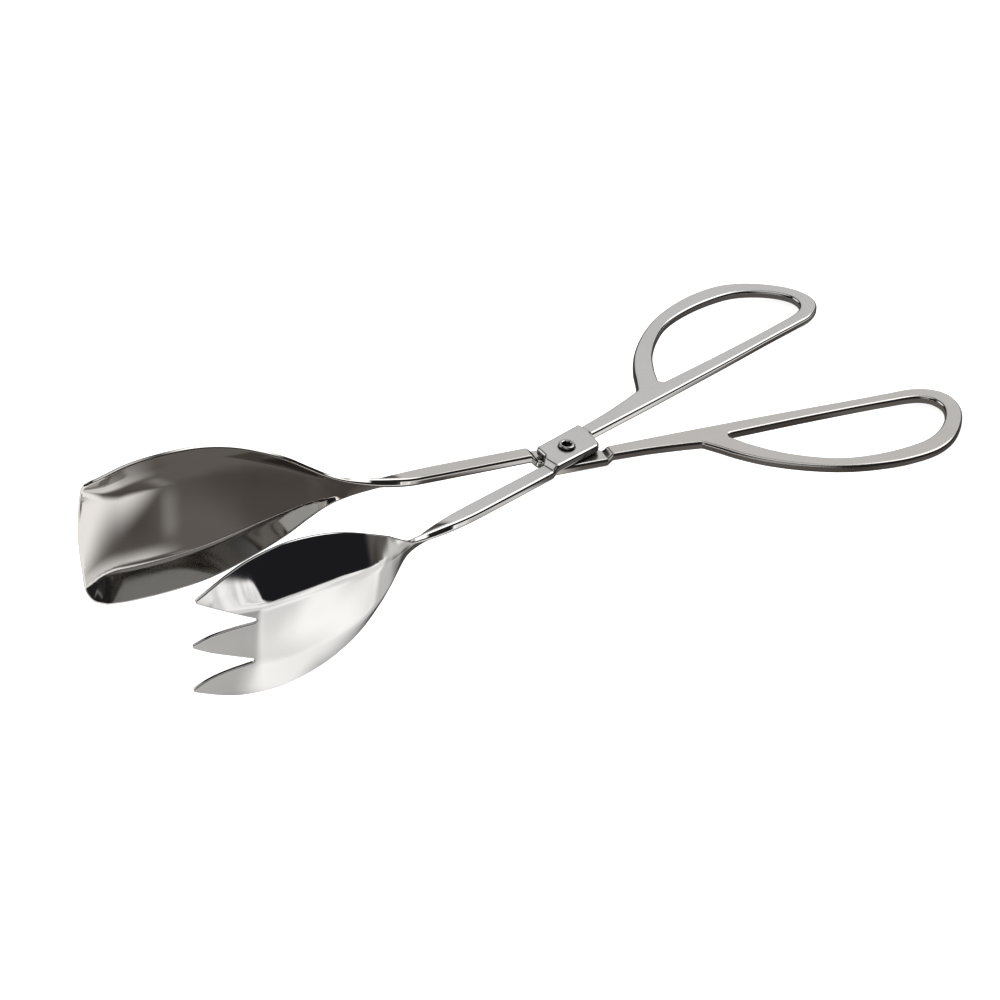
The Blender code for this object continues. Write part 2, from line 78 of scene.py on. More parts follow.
# Spoon blade: (u, half width), (u, rim line), (u, dish depth), (u, flat share of the floor)
SPOON_WIDTH = [(-56.0, 2.5), (-66.0, 3.1), (-71.0, 4.2), (-75.0, 6.0), (-80.0, 9.2),
               (-87.0, 13.9), (-95.0, 18.0), (-104.0, 21.6), (-113.0, 23.7),
               (-124.0, 24.4), (-135.0, 23.8), (-142.0, 22.4)]
SPOON_RIM = [(-48.0, -3.4), (-60.0, -4.3), (-68.0, -5.0), (-76.0, -5.6), (-88.0, -6.1),
             (-98.0, -6.4), (-112.0, -5.9), (-124.0, -4.9), (-136.0, -3.5), (-148.0, -1.2)]
SPOON_DEPTH = [(-68.0, 0.0), (-73.0, 0.8), (-80.0, 2.8), (-88.0, 4.0), (-100.0, 4.3),
               (-136.0, 4.3), (-150.0, 4.5)]
SPOON_FLOOR = [(-136.0, 0.60), (-142.0, 0.66), (-149.0, 0.82)]
SPOON_CORNER = (-147.3, 20.2, 4.5)
SPOON_FRONT = [(-148.6, 12.0), (-149.1, 0.0), (-148.2, -12.0)]

# Fork blade, in the same way, with three tines
FORK_WIDTH = [(-64.0, 2.4), (-69.0, 3.4), (-72.0, 5.2), (-76.0, 8.0), (-80.0, 10.9),
              (-88.0, 16.1), (-95.0, 20.0), (-102.0, 22.8), (-110.0, 24.6),
              (-118.0, 25.1), (-128.0, 23.3), (-134.5, 20.7), (-140.0, 17.8)]
FORK_RIM = [(-60.0, -3.4), (-68.0, -3.8), (-76.0, -5.3), (-82.0, -6.6), (-90.0, -7.6),
            (-98.0, -7.2), (-110.0, -5.6), (-128.0, -2.3), (-144.0, 0.4)]
FORK_DEPTH = [(-66.0, 0.0), (-71.0, 0.7), (-76.0, 1.8), (-81.0, 2.8), (-88.0, 4.0),
              (-96.0, 5.0), (-106.0, 5.7), (-118.0, 5.7), (-124.0, 5.3), (-127.0, 4.8),
              (-129.5, 4.0), (-133.0, 2.9), (-138.0, 1.4), (-144.0, -0.4)]
FORK_FLOOR = [(-70.0, 0.42), (-140.0, 0.42)]
HIGH_TIP = (-144.2, 15.4, 0.8)
HIGH_INSIDE = [(-139.5, 13.0), (-134.0, 10.8)]
HIGH_NOTCH = [(-128.2, 8.9, 0.5), (-128.2, 7.7, 0.5)]
MIDDLE_HIGH = [(-134.0, 5.4), (-139.5, 3.0)]
MIDDLE_TIP = (-144.6, 0.0, 0.8)
MIDDLE_LOW = [(-139.5, -2.6), (-134.0, -4.0)]
LOW_NOTCH = [(-128.0, -5.0, 0.5), (-128.0, -6.2, 0.5)]
LOW_INSIDE = [(-134.0, -9.2), (-139.5, -12.2)]
LOW_TIP = (-144.2, -15.4, 0.8)

# Softness of the crease at the foot of a dish's wall: on its lower side, on its upper side
SPOON_BLEND = (0.16, 0.46)
FORK_BLEND = (0.16, 0.16)

# The turn at each neck: where it starts, where it ends, how far it goes
SPOON_TWIST = (-46.0, -74.0, math.radians(90.0))
FORK_TWIST = (-43.0, -80.0, math.radians(88.0))

# Mesh fineness
ARC_STEP = math.radians(9.0)
CURVE_STEP = 1.0
FLAT_STEP = 2.0
FORMED_STEP = 0.9
BEND_STEP = 0.35
ROUND_SEGMENTS = 72
EDGE_SEGMENTS = 5
JOGGLE_ROWS = 8
JOGGLE_SPREAD = 1.2
JOGGLE_MARGIN = 1.0
HANDLE_CENTRE = 4.0
FORMED_END = -150.0
SPOT_SPACING = 0.35
ARC_ROOM = 1.05
NORMAL_STEP = 0.05
INSIDE_OUTLINE = 1
CLEARANCE_SHARE = 0.45

# Camera, in the rivet's own directions: +X to the loops, +Z along the rivet
VIEW_AZIMUTH = math.radians(38.281)
VIEW_ELEVATION = math.radians(33.85)
VIEW_ROLL = math.radians(5.0)
VIEW_DISTANCE = 0.826378
VIEW_FOCAL = 2.74942
VIEW_SHIFT = (-0.0659, -0.0455)
VIEW_CLIP = 0.01
SENSOR = 36.0

# Key softbox: degrees, metres, watts
KEY_AZIMUTH = 150.0
KEY_ELEVATION = 70.0
KEY_DISTANCE = 1.6
KEY_SIZE = 1.6
KEY_POWER = 9.0

# Studio round the table: light on matt surfaces, backdrop behind the tongs, and what the steel
# mirrors.  Each patch: azimuth, elevation, full within, gone by (degrees), strength.  DEEP is
# for light that has already bounced between steel surfaces.
DOME = 0.6
BACKDROP = 1.2
STUDIO_BASE = 0.02
STUDIO = [
    (-40.0, 22.0, 8.0, 30.0, 0.4),
    (137.0, 26.0, 16.0, 36.0, 0.70),
    (84.0, 45.0, 15.0, 27.0, 2.0),
    (-140.0, 32.0, 12.0, 26.0, 1.0),
    (-38.0, 84.0, 14.0, 26.0, 0.8),
]
STUDIO_DEEP = [
    (172.0, 48.0, 14.0, 34.0, 0.3),
]
FIRST_BOUNCES = 2.5

# Steel: colour, roughness of the blade, roughness of the handle
SPOON_FINISH = ((0.70, 0.675, 0.645), 0.07, 0.24)
FORK_FINISH = ((0.72, 0.71, 0.695), 0.07, 0.24)
RIVET_FINISH = ((0.56, 0.54, 0.525), 0.12, 0.12)
DULL_SHARE = 0.94
SATIN_START = (-0.05, 0.0)
BUFFED_EDGE = (0.2, 0.8)

# Ramps from 0 to 1 and back
RISE = (0.0, 1.0)
FALL = (1.0, 0.0)

# Noise patterns of the steel (scale, stretch, detail), then what their values turn into
STEEL_GRAIN = (900.0, (0.06, 1.0, 1.0), 4.0)
STEEL_CLOUD = (38.0, (1.0, 1.0, 1.0), 3.0)
STEEL_SPECKS = (2600.0, (1.0, 1.0, 1.0), 2.0)
GRAIN_SPAN = (0.3, 0.75)
GRAIN_ROUGHNESS = (-0.02, 0.04)
CLOUD_SPAN = (0.35, 0.7)
CLOUD_ROUGHNESS = (-0.02, 0.03)
TINT_SPAN = (0.3, 0.7)
SPECK_HEIGHT = 0.15
BUMP_STRENGTH = 0.05
BUMP_DISTANCE = 0.00003

# Table as the camera sees it
TABLE_HALF = 4.0
TABLE_DROP = 0.0002
TABLE_WHITE = (0.92, 0.92, 0.92, 1.0)
TABLE_ROUGHNESS = 0.9
TABLE_GLOW = 0.8

# Table as the steel mirrors it: painted light and shade that only reflections see, in metres on
# the table; along is X and across is Y.  Painted shade, from dark in front to patchy and warm close by.
PAINTED_SHADE_DARK = (0.015, 0.015, 0.018, 1.0)
TABLE_SHADE = (0.075, 0.066, 0.06, 1.0)
PAINTED_SHADE_PALE = (0.15, 0.139, 0.131, 1.0)
SHADE_FRONT = (-0.1, -0.05)
SHADE_NOISE = (26.0, (1.0, 0.6, 1.0), 1.0)
SHADE_SPAN = (0.42, 0.68)
BOUNCE_SPAN = (1.4, 2.6)
BOUNCE_LEVELS = (1.0, 0.3)

# Line of the fork arm over the table, its bends and how soft the painted pool of light's edge is along it
ARM_SLOPE = 0.19
ARM_BENDS = [
    ((-0.012, 0.02), (-0.008, -0.001)),
    ((-0.105, -0.09), (0.006, 0.0)),
    ((-0.038, -0.028), (0.0, -0.008)),
]
ARM_EDGE = (-0.005, 0.005)

# Painted pool of light on the near side of that line
POOL_FRONT = (-0.155, -0.125)
POOL_LEFT = (-0.1, -0.085)
POOL_RIGHT = (0.003, 0.016)
POOL_NOISE = (34.0, (0.5, 1.0, 1.0), 1.0)
POOL_NOISE_SPAN = (0.35, 0.6)
POOL_NOISE_LEVELS = (0.74, 1.06)
TINE_SPAN = (-0.1195, -0.109)
TINE_LEVELS = (0.5, 1.2)
TIP_SPAN = (-0.105, -0.08)
TIP_LEVELS = (1.15, 0.0)
CONTOUR_ACROSS = (-0.034, -0.028)
CONTOUR_ALONG = (-0.09, -0.06)
CONTOUR_LEVELS = (0.0, 0.5)

# Painted light past the blades' tips, between the handles, and one faint painted streak
END_SLANT = 0.9
END_SPAN = (-0.1205, -0.108)
END_LEVELS = (1.1, 0.0)
END_ACROSS = (-0.024, -0.016)
UPPER_ACROSS = (0.008, 0.016)
UPPER_LEVELS = (0.0, 0.75)
UPPER_ALONG = (-0.112, -0.098)
WEDGE_ALONG = (0.0, 0.02)
WEDGE_ACROSS = (-0.016, -0.006)
STREAK_SLANT = 0.32
STREAK_RISE = (-0.102, -0.0985)
STREAK_FALL = (-0.0985, -0.095)
STREAK_LEVELS = (0.0, 0.12)
STREAK_NEAR = (-0.02, -0.008)
STREAK_FAR = (0.002, 0.012)

# Layout of the node trees
NODE_COLUMNS = 8
NODE_GAP = (220, 260)


def smoothstep(start, end, value):
    """Ease from 0 at start to 1 at end."""
    amount = numpy.clip((value - start) / (end - start), 0.0, 1.0)
    return amount * amount * (3.0 - 2.0 * amount)


def curve_value(stations, position):
    """Smooth curve through (position, value) stations, held level beyond both ends."""
    ordered = sorted(stations)
    known = numpy.array([station[0] for station in ordered])
    values = numpy.array([station[1] for station in ordered])
    slopes = numpy.gradient(values, known)
    slopes[-1] = 0.0
    where = numpy.clip(position, known[0], known[-1])
    index = numpy.clip(numpy.searchsorted(known, where) - 1, 0, len(known) - 2)
    span = known[index + 1] - known[index]
    part = (where - known[index]) / span
    square = part * part
    cube = square * part
    result = (2.0 * cube - 3.0 * square + 1.0) * values[index]
    result = result + (cube - 2.0 * square + part) * span * slopes[index]
    result = result + (3.0 * square - 2.0 * cube) * values[index + 1]
    return result + (cube - square) * span * slopes[index + 1]


def hermite_point(start, end, tangent_in, tangent_out, part):
    """One point of a cubic between two points with given tangents."""
    square = part * part
    cube = square * part
    point = (2.0 * cube - 3.0 * square + 1.0) * start
    point = point + (cube - 2.0 * square + part) * tangent_in
    point = point + (3.0 * square - 2.0 * cube) * end
    return point + (cube - square) * tangent_out


def spline(points):
    """Sample a smooth curve through the points, ends included, as sharp corners."""
    spots = [numpy.array(point, dtype=float) for point in points]
    first = 2.0 * spots[0] - spots[1]
    last = 2.0 * spots[-1] - spots[-2]
    padded = [first] + spots + [last]
    samples = []
    for number in range(1, len(padded) - 2):
        before, start, end, after = padded[number - 1:number + 3]
        span = numpy.linalg.norm(end - start)
        tangent_in = (end - before) * span / numpy.linalg.norm(end - before)
        tangent_out = (after - start) * span / numpy.linalg.norm(after - start)
        count = max(2, math.ceil(span / CURVE_STEP))
        for step in range(count):
            samples.append(hermite_point(start, end, tangent_in, tangent_out, step / count))
    samples.append(spots[-1])
    return [(spot[0], spot[1], 0.0) for spot in samples]


def corner_arc(here, back, ahead, radius):
    """Points of the arc that rounds one corner."""
    back = back / numpy.linalg.norm(back)
    ahead = ahead / numpy.linalg.norm(ahead)
    inside = math.acos(max(-1.0, min(1.0, float(back @ ahead))))
    turn = math.pi - inside
    middle = back + ahead
    centre = here + middle / numpy.linalg.norm(middle) * radius / math.sin(0.5 * inside)
    reach = radius / math.tan(0.5 * inside)
    start = here + back * reach - centre
    side = here + ahead * reach - centre
    count = max(2, math.ceil(turn / ARC_STEP))
    arc = []
    for step in range(count + 1):
        angle = turn * step / count
        first = math.sin(turn - angle) / math.sin(turn)
        second = math.sin(angle) / math.sin(turn)
        arc.append(centre + start * first + side * second)
    return arc


def reach_of(corners, number):
    """Length of edge that a corner's arc uses."""
    here = numpy.array(corners[number][:2])
    back = numpy.array(corners[number - 1][:2]) - here
    ahead = numpy.array(corners[(number + 1) % len(corners)][:2]) - here
    cosine = back @ ahead / numpy.linalg.norm(back) / numpy.linalg.norm(ahead)
    inside = math.acos(max(-1.0, min(1.0, float(cosine))))
    return corners[number][2] / math.tan(0.5 * inside)


def thin_out(corners):
    """Drop plain points that a neighbouring corner's arc would swallow."""
    kept = list(corners)
    number = 0
    while number < len(kept):
        if kept[number][2] > 0.0:
            for side in (1, -1):
                while swallowed(kept, number, side):
                    victim = (number + side) % len(kept)
                    kept.pop(victim)
                    if victim < number:
                        number = number - 1
        number = number + 1
    return kept


def swallowed(corners, number, side):
    """Whether the plain point beside a corner lies within the corner's arc."""
    beside = corners[(number + side) % len(corners)]
    if beside[2] > 0.0:
        return False
    here = numpy.array(corners[number][:2])
    gap = numpy.linalg.norm(numpy.array(beside[:2]) - here)
    return bool(gap <= reach_of(corners, number) * ARC_ROOM)


def round_corners(corners):
    """Closed outline from (u, v, radius) corners, each radius replaced by an arc."""
    corners = thin_out(corners)
    outline = []
    total = len(corners)
    for number in range(total):
        here = numpy.array(corners[number][:2])
        radius = corners[number][2]
        if radius == 0.0:
            outline.append(here)
            continue
        back = numpy.array(corners[number - 1][:2]) - here
        ahead = numpy.array(corners[(number + 1) % total][:2]) - here
        outline.extend(corner_arc(here, back, ahead, radius))
    return outline


def in_joggle(position):
    """Whether a place along the arm is at or beside one of its joggles."""
    left = JOGGLE_LEFT[0] - JOGGLE_MARGIN < position < JOGGLE_LEFT[1] + JOGGLE_MARGIN
    right = JOGGLE_RIGHT[1] - JOGGLE_MARGIN < position < JOGGLE_RIGHT[0] + JOGGLE_MARGIN
    return left or right


def step_at(position):
    """Longest edge allowed along the outline at a place on the arm."""
    if position < BAR_START:
        return FORMED_STEP
    if in_joggle(position):
        return BEND_STEP
    return FLAT_STEP


def subdivide(outline):
    """Split long edges of a closed outline so that it can follow the forming."""
    result = []
    for number, start in enumerate(outline):
        end = outline[(number + 1) % len(outline)]
        length = numpy.linalg.norm(end - start)
        allowed = min(step_at(start[0]), step_at(end[0]), step_at(0.5 * (start[0] + end[0])))
        count = max(1, math.ceil(length / allowed - 0.01))
        for step in range(count):
            result.append(start + (end - start) * step / count)
    return result


def mirrored(points):
    """The same run on the other half of a blade, in the opposite order."""
    return [(point[0], -point[1]) + tuple(point[2:]) for point in reversed(points)]


def blade_side(stations, side):
    """Long edge of a blade from neck to tip on one side."""
    ordered = sorted(stations, reverse=True)
    return spline([(place, BAR_CENTRE + side * half) for place, half in ordered])


def shift(points):
    """Move blade-centred points onto the bar's centre line, adding a zero radius."""
    moved = []
    for point in points:
        radius = point[2] if len(point) > 2 else 0.0
        moved.append((point[0], BAR_CENTRE + point[1], radius))
    return moved


def spoon_end():
    """Square front of the spoon from its +v corner to its -v corner."""
    front = spline([SPOON_CORNER[:2]] + SPOON_FRONT + [(SPOON_CORNER[0], -SPOON_CORNER[1])])
    corner = [SPOON_CORNER]
    return shift(corner + front[1:-1] + mirrored(corner))


def tine_side(start, between, end):
    """Plain points of a tine's edge between two corners."""
    return spline([start[:2]] + between + [end[:2]])[1:-1]


def fork_end():
    """Three tines from the +v one to the -v one."""
    high = [HIGH_TIP] + tine_side(HIGH_TIP, HIGH_INSIDE, HIGH_NOTCH[0]) + HIGH_NOTCH
    middle = tine_side(HIGH_NOTCH[1], MIDDLE_HIGH, MIDDLE_TIP) + [MIDDLE_TIP]
    middle = middle + tine_side(MIDDLE_TIP, MIDDLE_LOW, LOW_NOTCH[0]) + LOW_NOTCH
    low = tine_side(LOW_NOTCH[1], LOW_INSIDE, LOW_TIP) + [LOW_TIP]
    return shift(high + middle + low)


def handle_corners():
    """Right-hand part of the blank: plate, bar and finger loop, counter-clockwise."""
    low_side = [(BAR_START, BAR_CENTRE - BAR_HALF, 0.0)] + PLATE_BAR_SIDE + PLATE_HANDLE_SIDE
    loop = spline(HANDLE_INNER + LOOP_END + LOOP_BOW + LOOP_ROOT) + [LOOP_NOTCH]
    high_side = PLATE_UPPER_SIDE + [(BAR_START, BAR_CENTRE + BAR_HALF, 0.0)]
    return low_side + loop + spline(HANDLE_OUTER) + high_side


def arm_outline(blade):
    """Closed counter-clockwise outline of one blank."""
    high = blade_side(blade["width"], 1.0)
    low = blade_side(blade["width"], -1.0)
    corners = handle_corners() + high + blade["end"]() + list(reversed(low))
    return subdivide(round_corners(corners))


def loop_hole():
    """Finger hole, traced clockwise so that material is on its left."""
    path = spline(HOLE_BAR + HOLE_END + HOLE_BOW + HOLE_ROOT)
    return subdivide(round_corners(list(reversed([HOLE_CORNER] + path))))


def rivet_hole():
    """Round hole for the rivet, traced clockwise."""
    radius = RIVET_SHANK + CLEARANCE_SHARE * RIVET_CLEARANCE
    ring = []
    for step in range(ROUND_SEGMENTS):
        angle = -2.0 * math.pi * step / ROUND_SEGMENTS
        ring.append(numpy.array([radius * math.cos(angle), radius * math.sin(angle)]))
    return ring


def inset(outline, distances):
    """Move each point of a closed outline to its left by its own distance."""
    points = numpy.array(outline)
    before = points - numpy.roll(points, 1, axis=0)
    after = numpy.roll(points, -1, axis=0) - points
    before = before / numpy.linalg.norm(before, axis=1)[:, None]
    after = after / numpy.linalg.norm(after, axis=1)[:, None]
    left = numpy.stack([-(before[:, 1] + after[:, 1]), before[:, 0] + after[:, 0]], axis=1)
    scale = 2.0 / numpy.maximum((left * left).sum(axis=1), 1.0)
    return points + left * scale[:, None] * numpy.array(distances)[:, None]


def inside_outline(point, outline):
    """Even-odd test of a point against a closed outline."""
    ends = numpy.roll(outline, -1, axis=0)
    crosses = (outline[:, 1] > point[1]) != (ends[:, 1] > point[1])
    rise = numpy.where(crosses, ends[:, 1] - outline[:, 1], 1.0)
    run = (point[1] - outline[:, 1]) / rise
    meets = outline[:, 0] + run * (ends[:, 0] - outline[:, 0])
    return bool(numpy.count_nonzero(crosses & (point[0] < meets)) % 2)


def distance_to(point, outline):
    """Distance from a point to the nearest edge of a closed outline."""
    ends = numpy.roll(outline, -1, axis=0)
    edges = ends - outline
    along = ((point - outline) * edges).sum(axis=1) / (edges * edges).sum(axis=1)
    nearest = outline + edges * numpy.clip(along, 0.0, 1.0)[:, None]
    return float(numpy.sqrt(((point - nearest) ** 2).sum(axis=1)).min())


def form_points(blade):
    """Places inside the blank where the forming needs vertices."""
    spots = []
    position = BAR_START - 0.5
    while position > FORMED_END:
        half = float(curve_value(blade["width"], position))
        rows = max(2, math.ceil(2.0 * half / FORMED_STEP))
        for row in range(rows + 1):
            share = 2.0 * row / rows - 1.0
            spots.append(numpy.array([position, BAR_CENTRE + share * half]))
        position = position - FORMED_STEP
    for first, last, middle in (JOGGLE_LEFT + (BAR_CENTRE,), JOGGLE_RIGHT + (HANDLE_CENTRE,)):
        for step in range(JOGGLE_ROWS + 1):
            position = first + step * (last - first) / JOGGLE_ROWS
            for across in (middle - JOGGLE_SPREAD, middle, middle + JOGGLE_SPREAD):
                spots.append(numpy.array([position, across]))
    return spots


def sheet_thickness(position):
    """The bar keeps the full sheet; the blade is rolled thinner."""
    thin = smoothstep(THINNING_START, THINNING_END, position)
    return SHEET + (BLADE_SHEET - SHEET) * thin


def dish_shape(share, floor, blend):
    """1 across the flat floor of a dish, falling to 0 at its rim past a softened crease."""
    wall = (1.0 - share) / (1.0 - floor)
    mix = numpy.clip(0.5 + 0.5 * (1.0 - wall) / blend, 0.0, 1.0)
    return 1.0 + (wall - 1.0) * mix - blend * mix * (1.0 - mix)


def formed(blade, position, across):
    """Mid-surface point of the formed sheet for a point of the flat blank."""
    offset = across - BAR_CENTRE
    start, end, angle = blade["twist"]
    turn = angle * smoothstep(start, end, position)
    rim = curve_value(blade["rim"], position)
    half = curve_value(blade["width"], position)
    depth = curve_value(blade["depth"], position)
    floor = curve_value(blade["floor"], position)
    blend = numpy.where(blade["hand"] * offset > 0.0, blade["blend"][1], blade["blend"][0])
    drop = depth * dish_shape(numpy.abs(offset) / half, floor, blend)
    joggle = smoothstep(*JOGGLE_LEFT, position) * smoothstep(*JOGGLE_RIGHT, position)
    sideways = rim + offset * numpy.cos(turn) - drop
    upward = blade["layer"] * PLATE_LIFT * joggle + blade["hand"] * offset * numpy.sin(turn)
    return numpy.stack([position, sideways, upward], axis=-1)


def surface_normals(blade, points):
    """Unit normals of the formed sheet at points of the blank."""
    along = formed(blade, points[:, 0] + NORMAL_STEP, points[:, 1])
    along = along - formed(blade, points[:, 0] - NORMAL_STEP, points[:, 1])
    beside = formed(blade, points[:, 0], points[:, 1] + NORMAL_STEP)
    beside = beside - formed(blade, points[:, 0], points[:, 1] - NORMAL_STEP)
    normal = numpy.cross(along, beside)
    return normal / numpy.linalg.norm(normal, axis=1)[:, None]


def cap_triangles(loops, spots):
    """Triangulate the face of the blank between its outline and its holes."""
    points = []
    edges = []
    for loop in loops:
        first = len(points)
        points.extend([tuple(point) for point in loop])
        count = len(loop)
        edges.extend([(first + step, first + (step + 1) % count) for step in range(count)])
    points.extend([tuple(spot) for spot in spots])
    solved = geometry.delaunay_2d_cdt(points, edges, [], INSIDE_OUTLINE, 1e-6)
    if len(solved[0]) != len(points):
        raise RuntimeError("the blank's outline crosses itself")
    origin = [source[0] for source in solved[3]]
    flat = numpy.array([tuple(point) for point in solved[0]])
    triangles = []
    for triangle in solved[2]:
        centre = flat[list(triangle)].mean(axis=0)
        if not any(inside_outline(centre, hole) for hole in loops[1:]):
            triangles.append(tuple(origin[corner] for corner in triangle))
    return triangles


def edge_rings():
    """(inset share, height share, tilt) of the rings that round the sheet's edge."""
    rings = []
    for step in range(EDGE_SEGMENTS + 1):
        tilt = 0.5 * math.pi * step / EDGE_SEGMENTS
        share = 1.0 - math.sin(tilt)
        level = 1.0 - 2.0 * EDGE_ROUND * (1.0 - math.cos(tilt))
        rings.append((share, level, tilt))
    lower = [(share, -level, math.pi - tilt) for share, level, tilt in reversed(rings)]
    return rings + lower


def build_sheet(blade, loops, spots):
    """Vertices, normals, edge shares and faces of a formed blank with rounded edges."""
    vertices = []
    normals = []
    edges = []
    faces = []
    rims = [[], []]
    for loop in loops:
        flat = numpy.array(loop)
        edge = EDGE_ROUND * sheet_thickness(flat[:, 0])
        inner = formed_at(blade, inset(flat, edge))
        outward = formed_at(blade, flat) - inner
        outward = outward / numpy.linalg.norm(outward, axis=1)[:, None]
        rings = []
        for share, level, tilt in edge_rings():
            ring = inset(flat, edge * share + TRIM)
            middle, normal = sheet_level(blade, ring, level)
            rings.append(len(vertices))
            vertices.extend(middle)
            lean = outward * math.sin(tilt) + normal * math.cos(tilt)
            normals.extend(lean / numpy.linalg.norm(lean, axis=1)[:, None])
            edges.extend([math.sin(tilt)] * len(flat))
        rims[0].append((rings[0], inset(flat, edge + TRIM)))
        rims[1].append((rings[-1], inset(flat, edge + TRIM)))
        faces.extend(band_faces(rings, len(flat)))
    faces.extend(face_caps(blade, vertices, normals, rims, spots))
    edges.extend([0.0] * (len(vertices) - len(edges)))
    return vertices, normals, edges, faces


def formed_at(blade, points):
    """Formed mid-surface at an array of blank points."""
    return formed(blade, points[:, 0], points[:, 1])


def sheet_level(blade, points, level):
    """Points and upward normals at a share of the half thickness above mid-surface."""
    normal = surface_normals(blade, points)
    flat = points[:, 0] > BAR_START
    lift = numpy.where(flat[:, None], numpy.array([0.0, 0.0, 1.0]), normal)
    height = 0.5 * sheet_thickness(points[:, 0]) * level
    return formed_at(blade, points) + lift * height[:, None], normal


def band_faces(rings, count):
    """Quads between the successive rings of one edge."""
    faces = []
    for upper, lower in zip(rings, rings[1:]):
        for step in range(count):
            following = (step + 1) % count
            faces.append((upper + step, lower + step, lower + following, upper + following))
    return faces


def face_caps(blade, vertices, normals, rims, spots):
    """Top and bottom faces of the sheet, added to the vertices in place."""
    rings = [rim[1] for rim in rims[0]]
    kept = []
    for spot in spots:
        if not inside_outline(spot, rings[0]):
            continue
        if min(distance_to(spot, ring) for ring in rings) > SPOT_SPACING * FORMED_STEP:
            kept.append(spot)
    triangles = cap_triangles(rings, kept)
    faces = []
    for side, level in ((0, 1.0), (1, -1.0)):
        numbers = []
        for first, ring in rims[side]:
            numbers.extend(range(first, first + len(ring)))
        numbers.extend(range(len(vertices), len(vertices) + len(kept)))
        middle, normal = sheet_level(blade, numpy.array(kept), level)
        vertices.extend(middle)
        normals.extend(normal * level)
        for triangle in triangles:
            ordered = triangle if level > 0.0 else tuple(reversed(triangle))
            faces.append(tuple(numbers[corner] for corner in ordered))
    return faces


def swing(points, side):
    """Swing an arm about the rivet to the rest opening; side is +1 or -1."""
    cosine = math.cos(HALF_OPENING)
    sine = math.sin(HALF_OPENING)
    along = points[:, 0] * cosine - points[:, 1] * sine
    beside = side * (points[:, 0] * sine + points[:, 1] * cosine)
    return numpy.stack([along, beside, points[:, 2]], axis=1)


def tilted(points):
    """Lean from the rivet's directions into the table's."""
    cosine = math.cos(REST_TILT)
    sine = math.sin(REST_TILT)
    along = points[:, 0] * cosine + points[:, 2] * sine
    upward = points[:, 2] * cosine - points[:, 0] * sine
    return numpy.stack([along, points[:, 1], upward], axis=1)


def turned(profile):
    """Vertices and faces of a closed (radius, height) profile turned about z."""
    vertices = []
    faces = []
    starts = []
    for radius, height in profile:
        starts.append(len(vertices))
        if radius == 0.0:
            vertices.append((0.0, 0.0, height))
            continue
        for step in range(ROUND_SEGMENTS):
            angle = 2.0 * math.pi * step / ROUND_SEGMENTS
            vertices.append((radius * math.cos(angle), radius * math.sin(angle), height))
    for number in range(len(profile) - 1):
        faces.extend(turned_band(profile, starts, number))
    return numpy.array(vertices), faces


def turned_band(profile, starts, number):
    """Faces between two neighbouring profile points."""
    faces = []
    first = starts[number]
    second = starts[number + 1]
    for step in range(ROUND_SEGMENTS):
        following = (step + 1) % ROUND_SEGMENTS
        if profile[number][0] == 0.0:
            faces.append((first, second + step, second + following))
        elif profile[number + 1][0] == 0.0:
            faces.append((first + step, second, first + following))
        else:
            faces.append((first + step, second + step, second + following, first + following))
    return faces


def arc_profile(centre, radii, start, end, count):
    """Points of an elliptic arc in the profile plane."""
    points = []
    for step in range(count + 1):
        angle = start + (end - start) * step / count
        radius = centre[0] + radii[0] * math.cos(angle)
        points.append((radius, centre[1] + radii[1] * math.sin(angle)))
    return points


def rivet_profile():
    """Profile of the hollow rivet from the bottom of its bore to its lower head."""
    plate = PLATE_LIFT + 0.5 * SHEET
    seat = plate + RIVET_SEAT_GAP
    top = plate + RIVET_RING_HEIGHT
    middle = 0.5 * (seat + top)
    crown = 0.5 * (RIVET_BORE + RIVET_RING)
    half = 0.5 * (RIVET_RING - RIVET_BORE)
    quarter = 0.5 * math.pi
    inner = [(0.0, top - BORE_DEPTH - 0.3), (0.7 * RIVET_BORE, top - BORE_DEPTH - 0.2)]
    inner = inner + [(RIVET_BORE, top - BORE_DEPTH), (RIVET_BORE, middle - 0.4)]
    roll = arc_profile((crown, middle), (half, top - middle), 2.0 * quarter, 0.0, 16)
    under = arc_profile((crown, middle), (half, middle - seat), 0.0, -0.8 * quarter, 8)
    shank = [(RIVET_SHANK, seat + 0.02), (RIVET_SHANK, -seat)]
    foot = -seat - RIVET_HEAD_HEIGHT
    head_middle = -seat - RIVET_RIM
    head = [(RIVET_HEAD - 0.3, -seat)]
    rim = arc_profile((RIVET_HEAD - RIVET_RIM, head_middle), (RIVET_RIM, RIVET_RIM),
                      quarter, 0.0, 6)
    dome = arc_profile((RIVET_HEAD - RIVET_DOME, head_middle), (RIVET_DOME, foot - head_middle),
                       0.0, quarter, 10)
    return inner + roll + under + shank + head + rim[1:] + dome[1:] + [(0.0, foot)]


SPOON = {"width": SPOON_WIDTH, "rim": SPOON_RIM, "depth": SPOON_DEPTH,
         "floor": SPOON_FLOOR, "blend": SPOON_BLEND, "twist": SPOON_TWIST,
         "end": spoon_end, "layer": -1.0, "hand": 1.0}
FORK = {"width": FORK_WIDTH, "rim": FORK_RIM, "depth": FORK_DEPTH,
        "floor": FORK_FLOOR, "blend": FORK_BLEND, "twist": FORK_TWIST,
        "end": fork_end, "layer": 1.0, "hand": -1.0}


def add_mesh(name, points, faces, pivot, normals=None):
    """Make one object from points in millimetres about the rivet's centre."""
    mesh = bpy.data.meshes.new(name)
    placed = points * MM + numpy.array(pivot)
    mesh.from_pydata(placed.tolist(), [], faces)
    mesh.update()
    mesh.shade_smooth()
    if normals is None:
        mesh.set_sharp_from_angle(angle=RIVET_CREASE)
    else:
        mesh.normals_split_custom_set_from_vertices(normals.tolist())
    piece = bpy.data.objects.new(name, mesh)
    bpy.context.scene.collection.objects.link(piece)
    return piece


